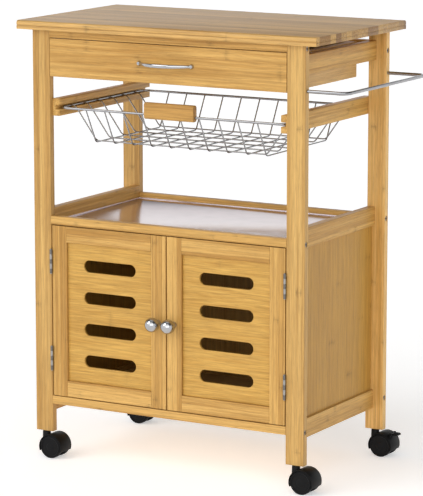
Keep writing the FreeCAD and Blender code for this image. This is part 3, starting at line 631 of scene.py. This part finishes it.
class CART_OT_woodwork(CartOperator):
    """Give the frame, drawer and door woodwork its bamboo, and the small fittings their metal"""

    bl_idname = "kitchen_cart.woodwork"
    bl_label = "Woodwork and fittings"

    def make(self, sizes):
        ends = [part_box("leg_front_left")[0].z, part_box("leg_front_left")[1].z]
        for index, corner in enumerate(CORNERS):
            tones = {"light": (0.600, 0.368, 0.118), "dark": (0.400, 0.213, 0.054)}
            # The rear right leg gets lighter tones as painted light: they lift the shade that the worktop and
            # cart body cast on it from the key light.
            if corner == "rear_right":
                tones = {"light": (0.78, 0.49, 0.175), "dark": (0.58, 0.32, 0.087)}
            leg_wood = wood(f"bamboo_leg_{corner}", 2, 0, 0.0113, seed=2.0 + index, contrast=0.85, rings=1.3,
                            ends=ends, **tones)
            clothe(leg_wood, f"leg_{corner}")
        clothe(wood("bamboo_cross_rails", 0, 2, 0.0073, seed=7.0), "top_cross_rails", "shelf_cross_rails",
               "bottom_cross_rails")
        clothe(wood("bamboo_side_rails", 1, 2, 0.0110, seed=8.0), "top_side_rails", "shelf_side_rails",
               "bottom_side_rails", "shelf_ledges", "drawer_runners")
        streak = (6.0, 210.0)
        clothe(wood("bamboo_drawer_front", 0, 2, 0.033, seed=9.0, wave=0.012, contrast=0.95, streak=streak,
                    strips=0.2, rings=0.9), "drawer_front")
        box_wood = {"light": (0.64, 0.42, 0.17), "dark": (0.50, 0.29, 0.10)}
        board = {"wave": 0.006, "contrast": 0.8, "streak": streak, "strips": 0.3, **box_wood}
        clothe(wood("drawer_side_wood", 1, 2, 0.030, seed=10.0, **board), "drawer_sides")
        clothe(wood("drawer_back_wood", 0, 2, 0.030, seed=11.0, **board), "drawer_back")
        clothe(wood("plywood_level", 0, 1, 0.080, seed=12.0, wave=0.020, contrast=0.5, **box_wood),
               "drawer_bottom", "bottom_panel")
        # The side panels' darker, deeper tones are painted shade: they are set to match the cart's shaded +X
        # side, which faces away from the key light, and to hold back the whitish sheen there.
        clothe(wood("bamboo_side_panels", 2, 1, 0.022, seed=13.0, wave=0.003, contrast=0.5, strips=0.15,
                    light=(0.53, 0.300, 0.064), dark=(0.39, 0.195, 0.033)), "side_panels")
        clothe(wood("plywood_back", 2, 0, 0.060, seed=14.0, wave=0.012, contrast=0.5), "back_panel")
        for side, seed in (("left", 15.0), ("right", 17.0)):
            clothe(wood(f"bamboo_{side}_stiles", 2, 0, 0.0097, seed=seed), f"door_{side}_stiles")
            clothe(wood(f"bamboo_{side}_door_rails", 0, 2, 0.0093, seed=seed + 1), f"door_{side}_rails")
            clothe(zinc(), f"door_{side}_hinge_leaves", f"door_{side}_strike")
        clothe(zinc(), "caster_sockets", "drawer_pull_screws")
        clothe(material("worn_steel", metal, (0.19, 0.18, 0.17), 0.34), "frame_hinge_leaves")


class CART_OT_worktop(CartOperator):
    """Model the glued bamboo worktop with its moulded edge, groove and band"""

    bl_idname = "kitchen_cart.worktop"
    bl_label = "Worktop"

    def make(self, sizes):
        board = block("worktop_board", BOARD_LOW, BOARD_HIGH)
        lip = BOARD_LOW.z + sizes.band
        for level in (lip, lip + sizes.groove):
            edit(board, "faces", lambda face: True)
            bpy.ops.mesh.bisect(plane_co=(0, 0, level), plane_no=(0, 0, 1))
        edit(board, "faces", lambda face: lip < face.calc_center_median().z < lip + sizes.groove)
        bpy.ops.mesh.extrude_region_shrink_fatten(TRANSFORM_OT_shrink_fatten={"value": -0.0010})
        top = BOARD_HIGH.z - 0.0001
        runs_x = along(X_AXIS)
        round_edges(board, sizes.nose, 6, lambda edge: runs_x(edge) and edge.verts[0].co.z > top)
        soften(board, 0.0005)
        top_wood = wood(
            "bamboo_worktop", 0, 1, 0.0192, seed=21.0, contrast=1.3, layer=0.05,
            gloss=0.5, ends=(BOARD_LOW.x, BOARD_HIGH.x))
        settle(board, top_wood, "frame", "bamboo_board", "worktop")


class CART_OT_tray(CartOperator):
    """Model the shelf's folded metal tray"""

    bl_idname = "kitchen_cart.tray"
    bl_label = "Shelf tray"

    def make(self, sizes):
        low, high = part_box("shelf_sheet")
        tray = block("shelf_tray", low, high + Z_AXIS * sizes.lip)
        edit(tray, "faces", lambda face: face.normal.z > 0.9)
        bpy.ops.mesh.inset(thickness=0.0011, depth=0)
        bpy.ops.mesh.extrude_region_move(TRANSFORM_OT_translate={"value": (0, 0, -sizes.lip)})
        soften(tray, 0.0004, 3)
        tint = tuple(bpy.context.scene.cart_finish.tray)
        sheet = material("tray_steel", metal, tint, 0.17, brushed=(0.02, 1.4, 1.4), depth=0.000002)
        settle(tray, sheet, "frame", "steel_sheet", "shelf_sheet")


class CART_OT_tracks(CartOperator):
    """Model the grooved rails that the basket slides in"""

    bl_idname = "kitchen_cart.tracks"
    bl_label = "Basket rails"

    def make(self, sizes):
        low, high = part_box("basket_rails")
        slat, wall, spare = 0.015, 0.006, 0.01
        groove_low, groove_high = 0.609, 0.616
        left = block("basket_rail_left", low, (low.x + slat, high.y, high.z))
        groove = block("groove", (low.x + wall, low.y - spare, groove_low),
                       (low.x + 2 * spare, high.y + spare, groove_high))
        combine(left, groove, "DIFFERENCE")
        soften(left, 0.0012, 3)
        right = reflect(left, "basket_rail_right", MIDDLE_X)
        rail_wood = wood("bamboo_basket_rails", 1, 2, 0.010, seed=23.0)
        settle(left, rail_wood, "frame", "bamboo", "basket_rails")
        settle(right, rail_wood, "frame", "bamboo")


class CART_OT_bolts(CartOperator):
    """Model the sunk socket-head bolts that hold the frame"""

    bl_idname = "kitchen_cart.bolts"
    bl_label = "Frame bolts"

    def make(self, sizes):
        low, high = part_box("frame_bolts")
        head_r = 0.0045
        near, far = low.y + head_r, high.y - head_r
        bottom, shelf, top_front, top_back = 0.10275, 0.41825, 0.73925, 0.7085
        base = (high.x - 0.004, near, bottom)
        profile = [
            (0, -0.055), (0.0026, -0.055), (0.003, -0.0545), (0.003, 0), (head_r, 0),
            (head_r, 0.0033), (0.0042, 0.0038), (0.0037, 0.004), (0, 0.004),
        ]
        bolt = lathe("bolt", profile, base, X_AXIS, steps=24)
        rest()
        bpy.ops.mesh.primitive_cylinder_add(
            vertices=6, radius=0.0023, depth=0.005, location=(high.x, near, base[2]),
            rotation=(0, math.pi / 2, 0))
        socket = bpy.context.object
        fix_place(socket)
        combine(bolt, socket, "DIFFERENCE")
        heights = {near: (bottom, shelf, top_front), far: (bottom, shelf, top_back)}
        right = [
            copy(bolt, "bolt", (0, y - near, z - base[2]))
            for y, levels in heights.items() for z in levels
        ]
        bpy.data.objects.remove(bolt, do_unlink=True)
        right = join("bolts_right", *right)
        left = reflect(right, "bolts_left", MIDDLE_X)
        settle(right, zinc(), "frame", "zinc", "frame_bolts")
        settle(left, zinc(), "frame", "zinc")


class CART_OT_towel_rail(CartOperator):
    """Bend the chrome towel rail"""

    bl_idname = "kitchen_cart.towel_rail"
    bl_label = "Towel rail"

    def make(self, sizes):
        low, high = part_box("towel_rail")
        radius = (high.z - low.z) / 2
        z = low.z + radius
        near, far, out = low.y + radius, high.y - radius, high.x - radius
        rail = line("towel_bar", [(low.x, near, z), (out, near, z), (out, far, z), (low.x, far, z)])
        bend_corners(rail, 0.014, 9)
        tube(rail, radius, 4)
        settle(rail, wire_chrome(), "frame", "chrome", "towel_rail", angle=50)


class CART_OT_drawer_pull(CartOperator):
    """Bend the drawer's chrome bow pull and turn its feet"""

    bl_idname = "kitchen_cart.drawer_pull"
    bl_label = "Drawer pull"

    def make(self, sizes):
        low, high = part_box("drawer_pull")
        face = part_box("drawer_front")[0].y
        half, out, thick = (high.x - low.x) / 2, face - low.y, 0.004
        middle_z = (low.z + high.z) / 2
        outer = (half * half + out * out) / (2 * out)
        reach = math.acos((outer - out) / outer)
        centre = Vector((MIDDLE_X, low.y + outer, middle_z))
        swing = outer - thick / 2
        first = centre + Vector((-math.sin(reach), -math.cos(reach), 0)) * swing
        bow = start_line("pull_bow", first)
        bpy.ops.mesh.spin(steps=28, angle=2 * reach, center=centre, axis=-Z_AXIS)
        fix_place(bow)
        if min(vert.co.y for vert in bow.data.vertices) > low.y + thick:
            raise RuntimeError("the pull's bow was spun the wrong way")
        pick(bow)
        bpy.ops.object.convert(target="CURVE")
        points = bow.data.splines[0].points
        for point in points:
            ease = abs(point.co.x - MIDDLE_X) / half
            point.radius = 1.0 - 0.30 * ease ** 2
        rest()
        bpy.ops.curve.primitive_bezier_circle_add(radius=1)
        section = bpy.context.object
        section.scale = (thick / 2, 0.36 * (high.z - low.z), 1)
        fix_place(section)
        bow.data.bevel_mode = "OBJECT"
        bow.data.bevel_object = section
        bow.data.use_fill_caps = True
        pick(bow)
        bpy.ops.object.convert(target="MESH")
        bpy.data.objects.remove(section, do_unlink=True)
        tidy(bow)
        feet = []
        profile = [
            (0, -0.0005), (0.0042, -0.0005), (0.0042, 0.0012), (0.0034, 0.0022), (0.0028, 0.0042), (0, 0.0046)]
        for sign in (-1, 1):
            foot_x = MIDDLE_X + sign * 0.0505
            feet.append(lathe("pull_foot", profile, (foot_x, face, middle_z), -Y_AXIS, steps=24))
        pull = join("drawer_bow_pull", bow, *feet)
        settle(pull, chrome(), "drawer", "chrome", "drawer_pull", angle=50)


class CART_OT_basket(CartOperator):
    """Bend the basket's rim and wires"""

    bl_idname = "kitchen_cart.basket"
    bl_label = "Wire basket"

    def make(self, sizes):
        low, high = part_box("basket_rim")
        floor_low, floor_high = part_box("basket_floor_wires")
        rim, wire = sizes.rim_wire, sizes.mesh_wire
        left, right = low.x + rim, high.x - rim
        front, back = low.y + rim, high.y - rim
        level = (low.z + high.z) / 2
        ring = line("basket_rim_wire", [
            (left, front, level), (right, front, level), (right, back, level),
            (left, back, level), (left, front, level)])
        tidy(ring)
        bend_corners(ring, 0.012, 7)
        tube(ring, rim, 4)

        base = floor_low.z + wire
        x_low, x_high = floor_low.x + wire, floor_high.x - wire
        y_low, y_high = floor_low.y + wire, floor_high.y - wire
        along_wires = []
        tie, sunk = level - rim * 0.6, 0.0005
        first = line("basket_long_wires", [
            (x_low, front + sunk, tie), (x_low, y_low, base), (x_low, y_high, base), (x_low, back - sunk, tie)])
        bend_corners(first, sizes.wire_bend, 5)
        tube(first, wire)
        for index in range(1, 10):
            along_wires.append(copy(first, "wire", ((x_high - x_low) * index / 9, 0, 0)))
        join("basket_long_wires", first, *along_wires)

        upper = base + 2 * wire
        cross_low, cross_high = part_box("basket_left_wires")
        y_low, y_high = cross_low.y + wire, cross_high.y - wire
        knee = 0.011
        cross = line("basket_cross_wires", [
            (left + sunk, y_low, level), (left + knee, y_low, level), (x_low, y_low, upper),
            (x_high, y_low, upper), (right - knee, y_low, level), (right - sunk, y_low, level)])
        bend_corners(cross, sizes.wire_bend, 5)
        tube(cross, wire)
        others = [copy(cross, "wire", (0, (y_high - y_low) * index / 5, 0)) for index in range(1, 6)]
        join("basket_cross_wires", cross, *others)
        settle(ring, wire_chrome(), "basket", "chrome", "basket_rim", angle=50)
        settle(first, wire_chrome(), "basket", "chrome", "basket_floor_wires", "basket_front_wires",
               "basket_back_wires", angle=50)
        settle(cross, wire_chrome(), "basket", "chrome", "basket_left_wires", "basket_right_wires", angle=50)


class CART_OT_grip(CartOperator):
    """Shape the basket's wooden grip"""

    bl_idname = "kitchen_cart.grip"
    bl_label = "Basket grip"

    def make(self, sizes):
        low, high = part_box("basket_grip")
        grip = block("basket_wooden_grip", low, high)
        round_edges(grip, sizes.grip_round, 5, along(X_AXIS))
        soften(grip, 0.0016, 3, angle=50)
        grip_wood = wood("bamboo_grip", 0, 2, 0.014, seed=25.0, ends=(low.x, high.x),
                         light=(0.50, 0.275, 0.073), dark=(0.35, 0.170, 0.035))
        settle(grip, grip_wood, "basket", "bamboo", "basket_grip", angle=40)


class CART_OT_door_panels(CartOperator):
    """Cut the doors' slotted panels"""

    bl_idname = "kitchen_cart.door_panels"
    bl_label = "Slotted door panels"

    def make(self, sizes):
        low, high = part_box("door_left_panel")
        panel = block("door_left_slotted_panel", low, high)
        middle = (low + high) / 2
        half_w, half_h = sizes.slot_length / 2, sizes.slot_height / 2
        slots = []
        for index in range(4):
            z = middle.z + sizes.slot_pitch * (index - 1.5)
            slot = block("slot", (middle.x - half_w, low.y - 0.01, z - half_h),
                         (middle.x + half_w, high.y + 0.01, z + half_h))
            round_edges(slot, half_h * 0.995, 10, along(Y_AXIS))
            slots.append(slot)
        combine(panel, join("slots", *slots), "DIFFERENCE")
        soften(panel, 0.0009, 3, angle=50)
        other = reflect(panel, "door_right_slotted_panel", MIDDLE_X)
        for side, piece, seed in (("left", panel, 31.0), ("right", other, 33.0)):
            veneer = wood(f"bamboo_{side}_veneer", 0, 2, 0.048, seed=seed, wave=0.012, contrast=0.9,
                          streak=(16.0, 300.0), strips=0.15, rings=0.6,
                          light=(0.595, 0.350, 0.083), dark=(0.440, 0.232, 0.045))
            settle(piece, veneer, f"door_{side}", "bamboo", f"door_{side}_panel")


class CART_OT_knobs(CartOperator):
    """Turn the doors' chrome ball knobs"""

    bl_idname = "kitchen_cart.knobs"
    bl_label = "Door knobs"

    def make(self, sizes):
        low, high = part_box("door_left_knob")
        ball = (high.x - low.x) / 2
        reach = high.y - low.y - ball
        neck = 0.0043
        meet = math.degrees(math.asin(neck / ball))
        profile = [(0, 0), (0.0053, 0), (0.0055, 0.0006), (0.0053, 0.0014), (0.0047, 0.0021),
                   (0.0043, 0.0034), (0.0040, 0.0052)] + arc(ball, reach, meet, 180, 22)
        foot = ((low.x + high.x) / 2, high.y, (low.z + high.z) / 2)
        left = lathe("door_left_ball_knob", profile, foot, -Y_AXIS, steps=48)
        right = reflect(left, "door_right_ball_knob", MIDDLE_X)
        settle(left, chrome(), "door_left", "chrome", "door_left_knob", angle=60)
        settle(right, chrome(), "door_right", "chrome", "door_right_knob", angle=60)


class CART_OT_hinge_pins(CartOperator):
    """Turn the hinge pins with their domed heads"""

    bl_idname = "kitchen_cart.hinge_pins"
    bl_label = "Hinge pins"

    def make(self, sizes):
        low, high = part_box("hinge_pins")
        pin_r, hinge_h = 0.0013, 0.042
        base = (low.x + pin_r, low.y + pin_r, low.z)
        profile = [
            (0, -0.0012), (0.0009, -0.0011), (0.0016, -0.0007), (0.0019, 0), (pin_r, 0),
            (pin_r, hinge_h), (0.0019, hinge_h), (0.0016, hinge_h + 0.0007), (0.0009, hinge_h + 0.0011),
            (0, hinge_h + 0.0012),
        ]
        pin = lathe("pins_left", profile, base, Z_AXIS, steps=20)
        left = join("hinge_pins_left", pin, copy(pin, "pin", (0, 0, high.z - low.z - hinge_h)))
        right = reflect(left, "hinge_pins_right", MIDDLE_X)
        settle(left, zinc(), "frame", "zinc", "hinge_pins", angle=50)
        settle(right, zinc(), "frame", "zinc", angle=50)


class CART_OT_catch(CartOperator):
    """Model the double magnetic catch behind the doors"""

    bl_idname = "kitchen_cart.catch"
    bl_label = "Magnetic catch"

    def make(self, sizes):
        low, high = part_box("magnet_catch")
        catch = block("magnetic_catch", low, high)
        soften(catch, 0.0012, 3)
        apart = 0.0095
        wells = []
        for x in (MIDDLE_X - apart, MIDDLE_X + apart):
            wells.append(block("well", (x - 0.0065, low.y - 0.001, low.z + 0.003),
                               (x + 0.0065, low.y + 0.0016, high.z - 0.003)))
        combine(catch, join("wells", *wells), "DIFFERENCE")
        plates = []
        for x in (MIDDLE_X - apart, MIDDLE_X + apart):
            for z in (low.z + 0.0042, high.z - 0.0056):
                plate = block("plate", (x - 0.0058, low.y + 0.0002, z),
                              (x + 0.0058, low.y + 0.0030, z + 0.0014))
                soften(plate, 0.0002)
                plates.append(plate)
        plates = join("magnetic_catch_plates", *plates)
        body = material("white_moulding", plastic, (0.78, 0.77, 0.74), 0.38)
        settle(catch, body, "frame", "white_plastic", "magnet_catch")
        settle(plates, zinc(), "frame", "zinc")


class CART_OT_casters(CartOperator):
    """Model one twin-wheel caster with its hood, wheels and brake lever, and copy it under each leg"""

    bl_idname = "kitchen_cart.casters"
    bl_label = "Casters"

    def make(self, sizes):
        low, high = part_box("caster_rear_right_wheels")
        axle = (low + high) / 2
        hood = self.hood(axle)
        wheels = self.wheels(axle)
        lever = self.lever(axle)
        ears = self.ears(axle)
        for corner in CORNERS:
            here_low, here_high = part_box(f"caster_{corner}_wheels")
            shift = (here_low + here_high) / 2 - axle
            name = f"caster_{corner}"
            settle(copy(hood, f"{name}_hood", shift), black_plastic(), name, "black_plastic", f"{name}_frame")
            settle(copy(wheels, f"{name}_twin_wheels", shift), wheel_plastic(), f"{name}_wheels",
                   "wheel_plastic", f"{name}_wheels", angle=40)
            if corner.startswith("rear"):
                settle(copy(ears, f"{name}_lever_ears", shift), black_plastic(), name, "black_plastic")
                settle(copy(lever, f"{name}_lever", shift), black_plastic(), f"{name}_brake",
                       "black_plastic", f"{name}_brake")
        for piece in (hood, wheels, lever, ears):
            bpy.data.objects.remove(piece, do_unlink=True)

    def hood(self, axle):
        """A T-shaped section spun over the wheels, with the neck and the stem on top."""
        shell_out, shell_in, half, web = 0.0222, 0.0206, 0.0175, 0.005
        section = [
            (0.007, -web), (shell_in, -web), (shell_in, -half), (shell_out, -half),
            (shell_out, half), (shell_in, half), (shell_in, web), (0.007, web),
        ]
        tilt = math.radians(-21)
        across = Vector((math.cos(tilt), 0, math.sin(tilt)))
        points = [axle + across * radius + Y_AXIS * y for radius, y in section]
        hood = line("hood", points + points[:1])
        tidy(hood)
        edit(hood, "verts", lambda vert: True)
        bpy.ops.mesh.edge_face_add()
        bpy.ops.mesh.spin(steps=36, angle=math.pi - 2 * tilt, center=axle, axis=Y_AXIS)
        tidy(hood)
        if min(vert.co.z for vert in hood.data.vertices) < axle.z - 0.010:
            raise RuntimeError("the hood was spun the wrong way")
        boss = disc("boss", 0.0085, web, axle, steps=32)
        combine(hood, boss, "UNION")
        trail = 0.017
        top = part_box("caster_rear_right_frame")[1].z
        neck = lathe("neck", [
            (0, 0.0100), (0.0074, 0.0100), (0.0070, 0.0236), (0.0064, 0.0246), (0.0064, 0.0256),
            (0.0035, 0.0256), (0.0035, top - 0.0205), (0.0030, top - axle.z), (0, top - axle.z)],
            (axle.x - trail, axle.y, axle.z), Z_AXIS, steps=32)
        combine(hood, neck, "UNION")
        soften(hood, 0.0006, 2, angle=40)
        return hood

    def ears(self, axle):
        """The two ears and the pin that hold a brake lever on its hood."""
        low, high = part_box("caster_rear_right_brake")
        pivot = Vector((low.x + 0.0022, axle.y, (low.z + high.z) / 2))
        made = []
        for sign in (-1, 1):
            middle = pivot + Y_AXIS * sign * 0.0090
            half = 0.0012
            ear = disc("ear", 0.0026, half, middle, steps=24)
            web = block("web", (middle.x - 0.0046, middle.y - half, middle.z - 0.0066),
                        (middle.x, middle.y + half, middle.z + 0.0004))
            combine(ear, web, "UNION")
            made.append(ear)
        pin = disc("pin", 0.0011, 0.0106, pivot, steps=16)
        ears = join("ears", *made, pin)
        soften(ears, 0.0003, 2, angle=40)
        return ears

    def wheels(self, axle):
        """Two dished wheels with a raised hub cap, on their axle."""
        profile = [
            (0, 0.0055), (0.0180, 0.0055), (0.0192, 0.0059), (0.0198, 0.0068), (0.0200, 0.0080),
            (0.0200, 0.0112), (0.0196, 0.0115), (0.0200, 0.0118), (0.0200, 0.0150), (0.0197, 0.0163),
            (0.0189, 0.0172), (0.0178, 0.0175), (0.0169, 0.0174), (0.0164, 0.0168), (0.0161, 0.0162),
            (0.0150, 0.0161), (0.0078, 0.0167), (0.0070, 0.0168), (0.0066, 0.0173), (0.0058, 0.0175),
            (0, 0.0175),
        ]
        near = lathe("wheel", [(radius, -y) for radius, y in profile], axle, Y_AXIS, steps=56)
        far = lathe("wheel", profile, axle, Y_AXIS, steps=56)
        pin = disc("pin", 0.0025, 0.0060, axle, steps=24)
        return join("wheels", near, far, pin)

    def lever(self, axle):
        """A ribbed pedal on its barrel."""
        low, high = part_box("caster_rear_right_brake")
        pivot = Vector((low.x + 0.0022, axle.y, (low.z + high.z) / 2))
        half, thin = 0.0075, 0.0013
        pedal = block("lever", (pivot.x, pivot.y - half, pivot.z - thin),
                      (high.x, pivot.y + half, pivot.z + thin))
        round_edges(pedal, 0.004, 5, lambda edge: along(Z_AXIS)(edge) and edge.verts[0].co.x > high.x - 0.001)
        barrel = disc("barrel", 0.0022, half, pivot, steps=24)
        combine(pedal, barrel, "UNION")
        for index in range(4):
            x = pivot.x + 0.0042 + 0.0021 * index
            rib = block("rib", (x, pivot.y - 0.0058, pivot.z + 0.0008),
                        (x + 0.0009, pivot.y + 0.0058, pivot.z + 0.0021))
            combine(pedal, rib, "UNION")
        soften(pedal, 0.0003, 2, angle=40)
        return pedal


STEPS = (
    CART_OT_stage, CART_OT_woodwork, CART_OT_worktop, CART_OT_tray, CART_OT_tracks, CART_OT_bolts,
    CART_OT_towel_rail, CART_OT_drawer_pull, CART_OT_basket, CART_OT_grip, CART_OT_door_panels,
    CART_OT_knobs, CART_OT_hinge_pins, CART_OT_catch, CART_OT_casters,
)


class CART_PT_panel(bpy.types.Panel):
    """The cart's sizes, finishes and making steps"""

    bl_idname = "CART_PT_panel"
    bl_label = "Kitchen Cart"
    bl_space_type = "VIEW_3D"
    bl_region_type = "UI"
    bl_category = "Kitchen Cart"

    def draw(self, context):
        for group in (context.scene.cart_sizes, context.scene.cart_finish):
            box = self.layout.box()
            for name in group.bl_rna.properties.keys():
                if name not in ("rna_type", "name"):
                    box.prop(group, name)
        column = self.layout.column(align=True)
        for step in STEPS:
            column.operator(step.bl_idname)


CLASSES = (CartSizes, CartFinish, *STEPS, CART_PT_panel)


def register():
    for item in CLASSES:
        bpy.utils.register_class(item)
    bpy.types.Scene.cart_sizes = bpy.props.PointerProperty(type=CartSizes)
    bpy.types.Scene.cart_finish = bpy.props.PointerProperty(type=CartFinish)


def unregister():
    del bpy.types.Scene.cart_finish
    del bpy.types.Scene.cart_sizes
    for item in reversed(CLASSES):
        bpy.utils.unregister_class(item)


def main():
    register()
    rest()
    bpy.ops.kitchen_cart.stage()
    bpy.ops.kitchen_cart.woodwork()
    bpy.ops.kitchen_cart.worktop()
    bpy.ops.kitchen_cart.tray()
    bpy.ops.kitchen_cart.tracks()
    bpy.ops.kitchen_cart.bolts()
    bpy.ops.kitchen_cart.towel_rail()
    bpy.ops.kitchen_cart.drawer_pull()
    bpy.ops.kitchen_cart.basket()
    bpy.ops.kitchen_cart.grip()
    bpy.ops.kitchen_cart.door_panels()
    bpy.ops.kitchen_cart.knobs()
    bpy.ops.kitchen_cart.hinge_pins()
    bpy.ops.kitchen_cart.catch()
    bpy.ops.kitchen_cart.casters()


if __name__ == "__main__":
    main()
